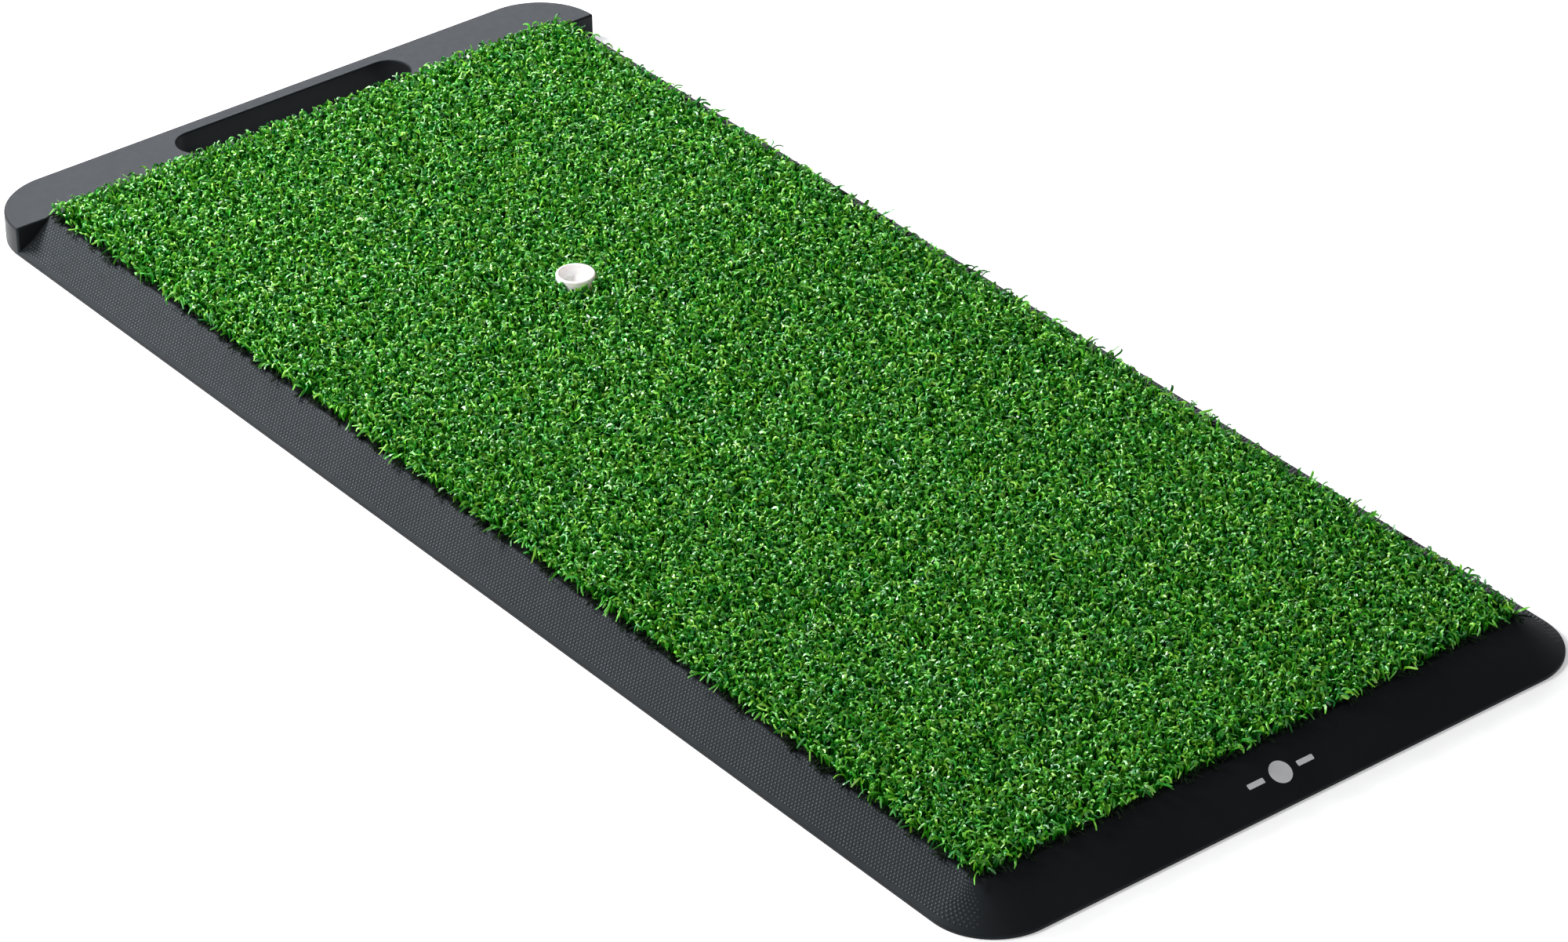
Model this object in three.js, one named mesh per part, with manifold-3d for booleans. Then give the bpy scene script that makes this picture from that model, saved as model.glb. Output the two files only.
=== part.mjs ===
// Golf hitting mat: a rubber base with a hand slot, a recessed panel of curled turf and a push-through tee.
// Millimetres. X runs across the mat, +Y points to the handle end, +Z is up.
// The origin is on the floor, under the middle of the mat.
import * as THREE from 'three';
import { mergeVertices } from 'three/addons/utils/BufferGeometryUtils.js';
import Module from 'manifold-3d';

const wasm = await Module();
wasm.setup();

// Rubber base
const MAT_WIDTH = 350;
const MAT_LENGTH = 765;
const BASE_THICKNESS = 15.3;
const LIP_HEIGHT = 1.8; // upright edge below the bevels
const SIDE_BEVEL_RUN = 19.6;
const FRONT_BEVEL_RUN = 25.5;
const FRONT_CORNER_RADIUS = 32;
const BEVEL_TOP_CORNER_RADIUS = 8;

// Handle platform: the full-height stretch at the handle end
const HANDLE_DEPTH = 36.5;
const HANDLE_CORNER_RADIUS = 35;
const SLOT_LENGTH = 138;
const SLOT_WIDTH = 22.4;
const SLOT_BAR = 8.5; // rubber between the slot and the handle end

// Recess for the turf panel
const RECESS_RIM = 2.4; // rubber left around the recess, inside the bevels' top edges
const RECESS_DEPTH = 4;
const RECESS_CORNER_RADIUS = 6;

// Turf panel, from the recess floor up
const GAP = 0.3; // clearance between touching pieces
const ADHESIVE_THICKNESS = 0.4;
const BACKING_THICKNESS = 1.2;
const CLOTH_THICKNESS = 0.8;
const PILE_ABOVE_BASE = 7.5;

// Tee, on the mat's centreline
const TEE_Y = 127;
const TEE_HOLE_RADIUS = 10.5;
const TEE_CUP_RADIUS = 9.5;
const TEE_CUP_DEPTH = 6;
const TEE_WALL = 1.6;
const TEE_CUP_FLOOR_RADIUS = 7.4;
const TEE_STEM_RADIUS = 8;
const TEE_BORE_RADIUS = 4.5;
const TEE_FLANGE_RADIUS = 22;
const TEE_FLANGE_THICKNESS = 3;
const TEE_FLANGE_CHAMFER = 1;
const TEE_FLANGE_CLEARANCE = 1.5; // around the flange in its pocket
const TEE_ABOVE_BASE = 10.7;

// Anti-slip grooves under the base
const GROOVE_COUNT = 12;
const GROOVE_PITCH = 24;
const GROOVE_WIDTH = 3;
const GROOVE_DEPTH = 1.5;
const GROOVE_END_MARGIN = 45;

// Centre mark on the front bevel
const MARK_THICKNESS = 0.6;
const MARK_DISC_RADIUS = 5.5;
const MARK_BAR_LENGTH = 9;
const MARK_BAR_WIDTH = 2.6;
const MARK_BAR_GAP = 4; // between the disc and the bars

// Facets of round stretches
const CORNER_STEPS = 10;
const CIRCLE_STEPS = 40;

// Places worked out from the sizes above
const HALF_WIDTH = MAT_WIDTH / 2;
const HALF_LENGTH = MAT_LENGTH / 2;
const STEP_Y = HALF_LENGTH - HANDLE_DEPTH; // where the side bevels meet the handle platform
const BEVEL_TOP_HALF_WIDTH = HALF_WIDTH - SIDE_BEVEL_RUN;
const BEVEL_TOP_FRONT = -HALF_LENGTH + FRONT_BEVEL_RUN;
const RECESS_HALF_WIDTH = BEVEL_TOP_HALF_WIDTH - RECESS_RIM;
const RECESS_FRONT = BEVEL_TOP_FRONT + RECESS_RIM;
const RECESS_FLOOR = BASE_THICKNESS - RECESS_DEPTH;
const CUT_OVERRUN = 2; // how far a cutter passes the face that it opens, and a joined body enters its neighbour
const SAME_POINT = 1e-6;

const rubber = { color: 0x1d1f21, roughness: 0.62, metalness: 0 };
const whiteRubber = { color: 0xe9e2e0, roughness: 0.45, metalness: 0 };
const whiteInk = { color: 0xe4e4e4, roughness: 0.5, metalness: 0 };
const turfGreen = { color: 0x3f8f2c, roughness: 0.55, metalness: 0 };
const clothGreen = { color: 0x2a4a25, roughness: 0.9, metalness: 0 };
const latex = { color: 0x23252a, roughness: 0.85, metalness: 0 };
const glue = { color: 0xb9a97c, roughness: 0.4, metalness: 0 };

function toSolid(geometry) {
  const bare = geometry.clone();
  bare.deleteAttribute('normal');
  bare.deleteAttribute('uv');
  const merged = mergeVertices(bare);
  return new wasm.Manifold(new wasm.Mesh({
    numProp: 3,
    vertProperties: new Float32Array(merged.attributes.position.array),
    triVerts: new Uint32Array(merged.index.array),
  }));
}

function toGeometry(solid) {
  const { vertProperties, triVerts } = solid.getMesh();
  const geometry = new THREE.BufferGeometry();
  geometry.setAttribute('position', new THREE.BufferAttribute(vertProperties, 3));
  geometry.setIndex(new THREE.BufferAttribute(triVerts, 1));
  geometry.computeVertexNormals();
  return geometry;
}

function cut(geometry, cutters) {
  return toGeometry(cutters.reduce((solid, cutter) => solid.subtract(toSolid(cutter)), toSolid(geometry)));
}

// One corner of an outline: a quarter arc from startAngle on, or a sharp point where the radius is 0
function corner(x, y, radius, startAngle) {
  if (radius === 0) return [new THREE.Vector2(x, y)];
  const outward = startAngle + Math.PI / 4;
  const centreX = x - Math.SQRT2 * radius * Math.cos(outward);
  const centreY = y - Math.SQRT2 * radius * Math.sin(outward);
  return Array.from({ length: CORNER_STEPS + 1 }, (_, i) => {
    const angle = startAngle + (i / CORNER_STEPS) * (Math.PI / 2);
    return new THREE.Vector2(centreX + radius * Math.cos(angle), centreY + radius * Math.sin(angle));
  });
}

// Counter-clockwise rectangle, centred across the mat, with its own corner radius at each end
function outline(halfWidth, front, back, frontRadius, backRadius) {
  const points = [
    ...corner(-halfWidth, front, frontRadius, Math.PI),
    ...corner(halfWidth, front, frontRadius, Math.PI * 1.5),
    ...corner(halfWidth, back, backRadius, 0),
    ...corner(-halfWidth, back, backRadius, Math.PI / 2),
  ];
  return points.filter((point, i) => point.distanceTo(points[(i + 1) % points.length]) > SAME_POINT);
}

function slab(points, low, high) {
  const geometry = new THREE.ExtrudeGeometry(new THREE.Shape(points), { depth: high - low, bevelEnabled: false });
  return geometry.translate(0, 0, low);
}

// Closed body through outlines with equal point counts, each at its own height
function loft(rings) {
  const count = rings[0].points.length;
  const positions = rings.flatMap(({ points, z }) => points.flatMap(({ x, y }) => [x, y, z]));
  const sides = rings.slice(1).flatMap((_, level) => rings[0].points.flatMap((_, i) => {
    const next = (i + 1) % count;
    const [a, b] = [level * count + i, level * count + next];
    return [a, b, b + count, a, b + count, a + count];
  }));
  const bottom = THREE.ShapeUtils.triangulateShape(rings[0].points, []).flatMap(([a, b, c]) => [c, b, a]);
  const topStart = (rings.length - 1) * count;
  const top = THREE.ShapeUtils.triangulateShape(rings.at(-1).points, []).flat().map((i) => topStart + i);
  const geometry = new THREE.BufferGeometry();
  geometry.setAttribute('position', new THREE.Float32BufferAttribute(positions, 3));
  geometry.setIndex([...bottom, ...sides, ...top]);
  return geometry;
}

// Upright cylinder on the tee's axis
function teePlug(radius, low, high) {
  const geometry = new THREE.CylinderGeometry(radius, radius, high - low, CIRCLE_STEPS);
  return geometry.rotateX(Math.PI / 2).translate(0, TEE_Y, (low + high) / 2);
}

function bevelledBody() {
  const back = STEP_Y + CUT_OVERRUN; // runs into the handle platform, so that the two join
  const foot = outline(HALF_WIDTH, -HALF_LENGTH, back, FRONT_CORNER_RADIUS, 0);
  const crown = outline(BEVEL_TOP_HALF_WIDTH, BEVEL_TOP_FRONT, back, BEVEL_TOP_CORNER_RADIUS, 0);
  return loft([
    { points: foot, z: 0 },
    { points: foot, z: LIP_HEIGHT },
    { points: crown, z: BASE_THICKNESS },
  ]);
}

function handlePlatform() {
  return slab(outline(HALF_WIDTH, STEP_Y, HALF_LENGTH, 0, HANDLE_CORNER_RADIUS), 0, BASE_THICKNESS);
}

function handSlotCutter() {
  const back = HALF_LENGTH - SLOT_BAR;
  const points = outline(SLOT_LENGTH / 2, back - SLOT_WIDTH, back, SLOT_WIDTH / 2, SLOT_WIDTH / 2);
  return slab(points, -CUT_OVERRUN, BASE_THICKNESS + CUT_OVERRUN);
}

function recessCutter() {
  const points = outline(RECESS_HALF_WIDTH, RECESS_FRONT, STEP_Y, RECESS_CORNER_RADIUS, RECESS_CORNER_RADIUS);
  return slab(points, RECESS_FLOOR, BASE_THICKNESS + CUT_OVERRUN);
}

function grooveCutters() {
  const length = STEP_Y + HALF_LENGTH - 2 * GROOVE_END_MARGIN;
  const middleY = (STEP_Y - HALF_LENGTH) / 2;
  const height = GROOVE_DEPTH + CUT_OVERRUN;
  return Array.from({ length: GROOVE_COUNT }, (_, i) => {
    const x = (i - (GROOVE_COUNT - 1) / 2) * GROOVE_PITCH;
    return new THREE.BoxGeometry(GROOVE_WIDTH, length, height).translate(x, middleY, GROOVE_DEPTH - height / 2);
  });
}

function rubberBase() {
  const blank = toGeometry(toSolid(bevelledBody()).add(toSolid(handlePlatform())));
  const flangePocketDepth = TEE_FLANGE_THICKNESS + 2 * GAP;
  return cut(blank, [
    handSlotCutter(),
    recessCutter(),
    teePlug(TEE_HOLE_RADIUS, -CUT_OVERRUN, BASE_THICKNESS),
    teePlug(TEE_FLANGE_RADIUS + TEE_FLANGE_CLEARANCE, -CUT_OVERRUN, flangePocketDepth),
    ...grooveCutters(),
  ]);
}

// One layer of the turf panel, inside the recess and around the tee
function turfLayer(low, high) {
  const points = outline(
    RECESS_HALF_WIDTH - GAP,
    RECESS_FRONT + GAP,
    STEP_Y - GAP,
    RECESS_CORNER_RADIUS - GAP,
    RECESS_CORNER_RADIUS - GAP,
  );
  return cut(slab(points, low, high), [teePlug(TEE_HOLE_RADIUS, low - CUT_OVERRUN, high + CUT_OVERRUN)]);
}

// The tee's section, from the flange's underside, up its outside, over the rim and down its bore
function rubberTee() {
  const foot = GAP;
  const rim = BASE_THICKNESS + TEE_ABOVE_BASE;
  const flangeTop = foot + TEE_FLANGE_THICKNESS;
  const cupFloor = rim - TEE_CUP_DEPTH;
  const section = [
    [TEE_BORE_RADIUS, foot],
    [TEE_FLANGE_RADIUS, foot],
    [TEE_FLANGE_RADIUS, flangeTop - TEE_FLANGE_CHAMFER],
    [TEE_FLANGE_RADIUS - TEE_FLANGE_CHAMFER, flangeTop],
    [TEE_CUP_RADIUS, flangeTop],
    [TEE_STEM_RADIUS, flangeTop + TEE_WALL],
    [TEE_STEM_RADIUS, cupFloor - 2 * TEE_WALL],
    [TEE_CUP_RADIUS, cupFloor + TEE_WALL],
    [TEE_CUP_RADIUS, rim],
    [TEE_CUP_RADIUS - TEE_WALL, rim],
    [TEE_CUP_FLOOR_RADIUS, cupFloor],
    [TEE_BORE_RADIUS, cupFloor - TEE_WALL],
    [TEE_BORE_RADIUS, foot],
  ];
  const points = section.map(([radius, z]) => new THREE.Vector2(radius, z));
  return new THREE.LatheGeometry(points, CIRCLE_STEPS).rotateX(Math.PI / 2);
}

function piece(name, geometry, finish) {
  const mesh = new THREE.Mesh(geometry, new THREE.MeshStandardMaterial(finish));
  mesh.name = name;
  return mesh;
}

// Turf panel layers, stacked with the clearance between them
function turfPanel() {
  const layers = [
    { name: 'turf_adhesive', thickness: ADHESIVE_THICKNESS, finish: glue },
    { name: 'turf_backing', thickness: BACKING_THICKNESS, finish: latex },
    { name: 'turf_primary_cloth', thickness: CLOTH_THICKNESS, finish: clothGreen },
  ];
  const panel = new THREE.Group();
  let low = RECESS_FLOOR + GAP;
  for (const { name, thickness, finish } of layers) {
    panel.add(piece(name, turfLayer(low, low + thickness), finish));
    low += thickness + GAP;
  }
  panel.add(piece('turf_pile', turfLayer(low, BASE_THICKNESS + PILE_ABOVE_BASE), turfGreen));
  return panel;
}

// A disc between two bars, lying on the middle of the front bevel
function centreMark() {
  const mark = new THREE.Group();
  const rise = BASE_THICKNESS - LIP_HEIGHT;
  mark.position.set(0, -HALF_LENGTH + FRONT_BEVEL_RUN / 2, LIP_HEIGHT + rise / 2);
  mark.rotation.x = Math.atan2(rise, FRONT_BEVEL_RUN);
  const middleZ = GAP + MARK_THICKNESS / 2;
  const disc = new THREE.CylinderGeometry(MARK_DISC_RADIUS, MARK_DISC_RADIUS, MARK_THICKNESS, CIRCLE_STEPS);
  mark.add(piece('centre_mark_disc', disc.rotateX(Math.PI / 2).translate(0, 0, middleZ), whiteInk));
  const barX = MARK_DISC_RADIUS + MARK_BAR_GAP + MARK_BAR_LENGTH / 2;
  for (const [side, name] of [[-1, 'centre_mark_bar_left'], [1, 'centre_mark_bar_right']]) {
    const bar = new THREE.BoxGeometry(MARK_BAR_LENGTH, MARK_BAR_WIDTH, MARK_THICKNESS);
    mark.add(piece(name, bar.translate(side * barX, 0, middleZ), whiteInk));
  }
  return mark;
}

function tee() {
  const mesh = piece('rubber_tee', rubberTee(), whiteRubber);
  mesh.position.y = TEE_Y;
  return mesh;
}

const mat = new THREE.Group();
mat.add(piece('rubber_base', rubberBase(), rubber));
mat.add(turfPanel());
mat.add(tee());
mat.add(centreMark());

export default mat;
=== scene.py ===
"""Golf hitting mat: moulded rubber base, panel of curled turf and white rubber tee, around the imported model.

Metres, in the model's own frame: X runs across the mat, +Y towards the hand slot, +Z up, floor at z = 0.
"""
import math

import bpy
import numpy as np
from mathutils import Matrix, Vector


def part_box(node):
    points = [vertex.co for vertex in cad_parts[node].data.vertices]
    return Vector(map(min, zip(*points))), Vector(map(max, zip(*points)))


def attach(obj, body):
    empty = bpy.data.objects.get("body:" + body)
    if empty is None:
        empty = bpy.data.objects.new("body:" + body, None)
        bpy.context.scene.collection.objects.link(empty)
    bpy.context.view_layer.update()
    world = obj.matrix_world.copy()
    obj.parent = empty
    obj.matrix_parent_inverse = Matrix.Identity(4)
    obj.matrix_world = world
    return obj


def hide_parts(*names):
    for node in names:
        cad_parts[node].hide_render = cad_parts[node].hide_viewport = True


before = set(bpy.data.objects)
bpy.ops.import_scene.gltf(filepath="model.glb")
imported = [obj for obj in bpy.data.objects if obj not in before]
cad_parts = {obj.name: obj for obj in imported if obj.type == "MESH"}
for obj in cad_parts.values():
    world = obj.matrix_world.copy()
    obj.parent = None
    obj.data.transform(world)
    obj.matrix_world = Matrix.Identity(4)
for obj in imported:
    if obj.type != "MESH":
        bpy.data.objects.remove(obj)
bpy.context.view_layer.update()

MM = 0.001
SEED = 20

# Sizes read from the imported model
BASE_LOW, BASE_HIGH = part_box("rubber_base")
PANEL_LOW, PANEL_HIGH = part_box("turf_pile")
CLOTH_LOW, CLOTH_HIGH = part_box("turf_primary_cloth")
GLUE_LOW, GLUE_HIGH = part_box("turf_adhesive")
TEE_LOW, TEE_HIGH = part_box("rubber_tee")
HALF_WIDTH = BASE_HIGH.x
HALF_LENGTH = BASE_HIGH.y
THICKNESS = BASE_HIGH.z
TEE_Y = (TEE_LOW.y + TEE_HIGH.y) / 2
GAP = 0.3 * MM
STEP_Y = PANEL_HIGH.y + GAP
RECESS_FLOOR = GLUE_LOW.z - GAP

# Sizes that the boxes don't show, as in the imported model
LIP_HEIGHT = 1.8 * MM
SIDE_RUN = 19.6 * MM
FRONT_RUN = 25.5 * MM
FRONT_RADIUS = 32 * MM
CROWN_RADIUS = 8 * MM
HANDLE_RADIUS = 35 * MM
SLOT_LENGTH = 138 * MM
SLOT_WIDTH = 22.4 * MM
SLOT_BAR = 8.5 * MM
RECESS_RADIUS = 6 * MM
TEE_HOLE_RADIUS = 10.5 * MM
TEE_CUP_RADIUS = 9.5 * MM
FLANGE_POCKET_RADIUS = 23.5 * MM
FLANGE_POCKET_DEPTH = 3.6 * MM
GROOVES = 12
GROOVE_PITCH = 24 * MM
GROOVE_WIDTH = 3 * MM
GROOVE_DEPTH = 1.5 * MM
GROOVE_MARGIN = 45 * MM
GROOVE_DRAFT = 0.45  # how much each side leans out, per unit of height

# Rounded edges
FOOT_ROUNDING = 0.4 * MM
LIP_ROUNDING = 0.9 * MM
CROWN_ROUNDING = 1.5 * MM
HANDLE_ROUNDING = 1.1 * MM
HANDLE_FRONT_RADIUS = 1.3 * MM
SLOT_FLARE = 0.9 * MM

ARC_STEPS = 24
FILLET_STEPS = 5
CIRCLE_STEPS = 96
LEVEL_REACH = 5 * MM  # how far in a profile's level lines are taken, to aim its fillets
OVERRUN = 2 * MM  # how far a cutter passes the face that it opens
SLIGHT = 0.01 * MM  # keeps two arcs or a face and a ring from meeting exactly
STEP_OVERLAP = 1.4 * MM  # how far the bevelled body runs into the handle, short of its corner arcs


# ---------------------------------------------------------------- materials

class Shader:
    """A Principled material, with short calls to add and link nodes."""

    def __init__(self, name, **plain):
        self.material = bpy.data.materials.new(name)
        self.material.use_nodes = True
        self.tree = self.material.node_tree
        self.principled = self.tree.nodes["Principled BSDF"]
        for socket, value in plain.items():
            self.principled.inputs[socket.replace("_", " ")].default_value = value

    def node(self, kind, **values):
        """A new node: values name its sockets, or its own properties."""
        made = self.tree.nodes.new(kind)
        for name, value in values.items():
            socket = made.inputs.get(name.replace("_", " "))
            if socket is not None:
                socket.default_value = value
            else:
                setattr(made, name, value)
        return made

    def link(self, source, target):
        self.tree.links.new(source, target)

    def place(self):
        """Object coordinates, in metres."""
        return self.node("ShaderNodeTexCoord").outputs["Object"]

    def noise(self, size, detail=4.0, roughness=0.55, stretch=(1, 1, 1)):
        """Noise from 0 to 1 whose features are about size metres across, longer along any axis below 1."""
        mapping = self.node("ShaderNodeMapping", Scale=stretch)
        texture = self.node("ShaderNodeTexNoise", Scale=1 / size, Detail=detail, Roughness=roughness)
        self.link(self.place(), mapping.inputs["Vector"])
        self.link(mapping.outputs["Vector"], texture.inputs["Vector"])
        return texture.outputs["Fac"]

    def between(self, factor, low, high, dark, light):
        """Colour ramp from dark to light as factor goes from low to high."""
        ramp = self.node("ShaderNodeValToRGB")
        ramp.color_ramp.elements[0].position = low
        ramp.color_ramp.elements[0].color = (*dark, 1)
        ramp.color_ramp.elements[1].position = high
        ramp.color_ramp.elements[1].color = (*light, 1)
        self.link(factor, ramp.inputs["Fac"])
        return ramp.outputs["Color"]

    def spread(self, factor, low, high):
        """Number that goes from low to high as factor goes from 0 to 1."""
        remap = self.node("ShaderNodeMapRange", To_Min=low, To_Max=high)
        self.link(factor, remap.inputs["Value"])
        return remap.outputs["Result"]

    def bump(self, height, distance, under=None):
        """Bump of that depth in metres, on top of an earlier bump if there is one."""
        made = self.node("ShaderNodeBump", Distance=distance)
        self.link(height, made.inputs["Height"])
        if under is not None:
            self.link(under, made.inputs["Normal"])
        return made.outputs["Normal"]

    def sideways_slope(self):
        """1 on the long bevels, falling to 0 round the front corners, and 0 on level or upright faces."""
        parts = self.node("ShaderNodeSeparateXYZ")
        self.link(self.node("ShaderNodeNewGeometry").outputs["Normal"], parts.inputs["Vector"])
        sideways = self.node("ShaderNodeMath", operation="ABSOLUTE")
        self.link(parts.outputs["X"], sideways.inputs[0])
        slope = self.node("ShaderNodeMath", operation="MULTIPLY")
        self.link(sideways.outputs[0], slope.inputs[0])
        self.link(parts.outputs["Z"], slope.inputs[1])
        slant = math.atan2(THICKNESS - LIP_HEIGHT, SIDE_RUN)
        remap = self.node("ShaderNodeMapRange", From_Max=math.sin(slant) * math.cos(slant))
        self.link(slope.outputs[0], remap.inputs["Value"])
        return remap.outputs["Result"]

    def colour(self, source):
        self.link(source, self.principled.inputs["Base Color"])

    def roughness(self, source):
        self.link(source, self.principled.inputs["Roughness"])

    def normal(self, source):
        self.link(source, self.principled.inputs["Normal"])


def rubber_material():
    """Black moulded rubber: faint mottling, a fine pebbled skin and slightly uneven sheen."""
    tint = (0.76, 0.92, 1, 1)
    shader = Shader("moulded_rubber", IOR=1.45, Specular_IOR_Level=0.2, Specular_Tint=tint)
    cloudy = shader.noise(60 * MM, detail=3)
    dusty = shader.noise(4 * MM, detail=6, roughness=0.7)
    grain = shader.noise(0.5 * MM, detail=2)
    shader.colour(shader.between(cloudy, 0.35, 0.7, (0.0060, 0.0063, 0.0074), (0.0084, 0.0089, 0.0104)))
    rough = shader.node("ShaderNodeMath", operation="ADD")
    shader.link(shader.spread(dusty, 0.4, 0.54), rough.inputs[0])
    shader.link(shader.spread(shader.sideways_slope(), 0, 0.21), rough.inputs[1])
    shader.roughness(rough.outputs[0])
    shader.normal(shader.bump(grain, 0.04 * MM, under=shader.bump(dusty, 0.05 * MM)))
    return shader.material


def tread_material():
    """The same rubber on the tread's dots, polished a little by wear. Plain colour about twice as light as the
    base rubber's, a painted highlight for the light on the dots' tops; varied gloss.
    """
    tint = (0.8, 0.95, 1, 1)
    # painted highlight: the dots' plain colour is lighter than the rubber round them
    shader = Shader(
        "tread_rubber", Base_Color=(0.013, 0.016, 0.018, 1), Roughness=0.52, IOR=1.45, Specular_Tint=tint
    )
    worn = shader.noise(15 * MM, detail=5)
    shader.link(shader.spread(worn, 0.35, 0.7), shader.principled.inputs["Specular IOR Level"])
    return shader.material


def latex_material():
    """Matte dark latex coat with roller streaks along the panel."""
    shader = Shader("latex_backing")
    streaks = shader.noise(3 * MM, stretch=(1, 0.1, 1))
    shader.colour(shader.between(streaks, 0.3, 0.7, (0.016, 0.018, 0.024), (0.034, 0.037, 0.045)))
    shader.roughness(shader.spread(streaks, 0.75, 0.95))
    shader.normal(shader.bump(streaks, 0.2 * MM))
    return shader.material


def glue_material():
    """Amber glue film with combed ridges."""
    shader = Shader("dried_glue")
    ridges = shader.noise(4 * MM, detail=3, stretch=(1, 0.15, 1))
    shader.colour(shader.between(ridges, 0.35, 0.65, (0.35, 0.27, 0.12), (0.52, 0.44, 0.26)))
    shader.roughness(shader.spread(ridges, 0.3, 0.6))
    shader.normal(shader.bump(ridges, 0.3 * MM))
    return shader.material


THREAD_PITCH = 1.2 * MM


def cloth_material():
    """Plain weave of dark green tape yarns."""
    shader = Shader("woven_cloth", Specular_IOR_Level=0.15)
    threads = []
    for direction in ("X", "Y"):
        wave = shader.node("ShaderNodeTexWave", Scale=1 / (THREAD_PITCH * math.pi))
        wave.bands_direction = direction
        shader.link(shader.place(), wave.inputs["Vector"])
        threads.append(wave.outputs["Fac"])
    weave = shader.node("ShaderNodeMath", operation="MULTIPLY")
    shader.link(threads[0], weave.inputs[0])
    shader.link(threads[1], weave.inputs[1])
    shader.colour(shader.between(weave.outputs[0], 0.1, 0.8, (0.004, 0.010, 0.004), (0.010, 0.028, 0.009)))
    shader.roughness(shader.spread(weave.outputs[0], 0.95, 0.7))
    shader.normal(shader.bump(weave.outputs[0], 0.3 * MM))
    return shader.material


def tee_material():
    """Off-white rubber, faintly pink, with scuffs round the cup."""
    shader = Shader("white_rubber", Subsurface_Weight=0.15, Subsurface_Scale=2 * MM)
    scuffs = shader.noise(2.5 * MM, detail=7, roughness=0.7)
    grain = shader.noise(0.4 * MM, detail=2)
    shader.colour(shader.between(scuffs, 0.33, 0.6, (0.80, 0.775, 0.765), (0.885, 0.87, 0.865)))
    shader.roughness(shader.spread(scuffs, 0.6, 0.34))
    shader.normal(shader.bump(grain, 0.03 * MM, under=shader.bump(scuffs, 0.08 * MM)))
    return shader.material


def ink_material():
    """White print, a little worn where it lies on the rubber's pebbled skin."""
    shader = Shader("white_print")
    worn = shader.noise(0.6 * MM, detail=5, roughness=0.7)
    shader.colour(shader.between(worn, 0.28, 0.46, (0.44, 0.44, 0.455), (0.56, 0.56, 0.575)))
    shader.roughness(shader.spread(worn, 0.65, 0.45))
    shader.normal(shader.bump(worn, 0.03 * MM))
    return shader.material


# Yarn blend: name and linear colour, each for an equal share of the strands
YARNS = [
    ("lime", (0.162, 0.485, 0.029)),
    ("spring", (0.120, 0.437, 0.026)),
    ("parsley", (0.094, 0.405, 0.023)),
    ("grass", (0.079, 0.376, 0.021)),
    ("meadow", (0.065, 0.351, 0.018)),
    ("clover", (0.051, 0.317, 0.014)),
    ("mint", (0.036, 0.317, 0.029)),
    ("leaf", (0.040, 0.278, 0.011)),
    ("fern", (0.029, 0.242, 0.011)),
    ("moss", (0.041, 0.217, 0.007)),
    ("ivy", (0.020, 0.200, 0.009)),
    ("forest", (0.013, 0.173, 0.009)),
    ("pine", (0.008, 0.126, 0.010)),
    ("jade", (0.010, 0.196, 0.021)),
    ("olive", (0.104, 0.321, 0.013)),
]
PAINTED_SHADE_AND_LIGHT = {0.36: 0, 0.8: 0.15, 1.12: 1.2, 1.3: 1.6}  # brightness of each yarn's copies from root to tip, with their gloss: painted shade low down, painted light on the tips


def yarn_material(name, colour, shade, gloss):
    """Semi-gloss nylon at one level of painted light: darker and deeper green for painted shade, lighter for
    painted light, with gloss that varies along the crimp.
    """
    red, green, blue = colour
    # painted shade and light: the yarn's colour scaled by shade, with red and blue falling faster, so that
    # painted shade is also a deeper green
    tint = (red * shade**2, green * shade, blue * shade**2, 1)
    shader = Shader(f"yarn_{name}_{round(shade * 100)}", Base_Color=tint, Roughness=0.32, IOR=1.52)
    crimp = shader.noise(1.5 * MM, detail=2)
    shader.link(shader.spread(crimp, 0, gloss), shader.principled.inputs["Specular IOR Level"])
    return shader.material


# ---------------------------------------------------------------- mesh helpers

def mesh_object(name, points, faces, materials, smooth_angle=None):
    """A mesh object from its points and faces. Edges sharper than smooth_angle stay sharp."""
    mesh = bpy.data.meshes.new(name)
    mesh.from_pydata(points, [], faces)
    mesh.validate()
    made = bpy.data.objects.new(name, mesh)
    bpy.context.scene.collection.objects.link(made)
    for material in materials:
        mesh.materials.append(material)
    if smooth_angle is not None:
        shade(made, smooth_angle)
    return made


def shade(piece, angle):
    """Smooth shading, with edges over that many degrees kept sharp."""
    piece.data.shade_smooth()
    piece.data.set_sharp_from_angle(angle=math.radians(angle))


def apply_modifiers(piece):
    """Turns the piece's modifiers into its mesh."""
    evaluated = piece.evaluated_get(bpy.context.evaluated_depsgraph_get())
    mesh = bpy.data.meshes.new_from_object(evaluated)
    piece.modifiers.clear()
    old = piece.data
    piece.data = mesh
    bpy.data.meshes.remove(old)


def boolean(piece, other, operation):
    """Joins or cuts piece with other, removes other and gives piece back."""
    modifier = piece.modifiers.new("boolean", "BOOLEAN")
    modifier.operation = operation
    modifier.solver = "EXACT"
    modifier.object = other
    apply_modifiers(piece)
    bpy.data.objects.remove(other)
    return piece


def weight_normals(piece):
    """Lets large flat faces keep flat shading beside narrow rounded edges."""
    modifier = piece.modifiers.new("normals", "WEIGHTED_NORMAL")
    modifier.keep_sharp = True
    apply_modifiers(piece)


def corner(x, y, radius, start):
    """Quarter arc of an outline's corner at (x, y), from the start angle on, or the sharp point itself."""
    if radius <= 0:
        return [(x, y)]
    outward = start + math.pi / 4
    centre_x = x - math.sqrt(2) * radius * math.cos(outward)
    centre_y = y - math.sqrt(2) * radius * math.sin(outward)
    angles = [start + i / ARC_STEPS * math.pi / 2 for i in range(ARC_STEPS + 1)]
    return [(centre_x + radius * math.cos(a), centre_y + radius * math.sin(a)) for a in angles]


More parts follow.
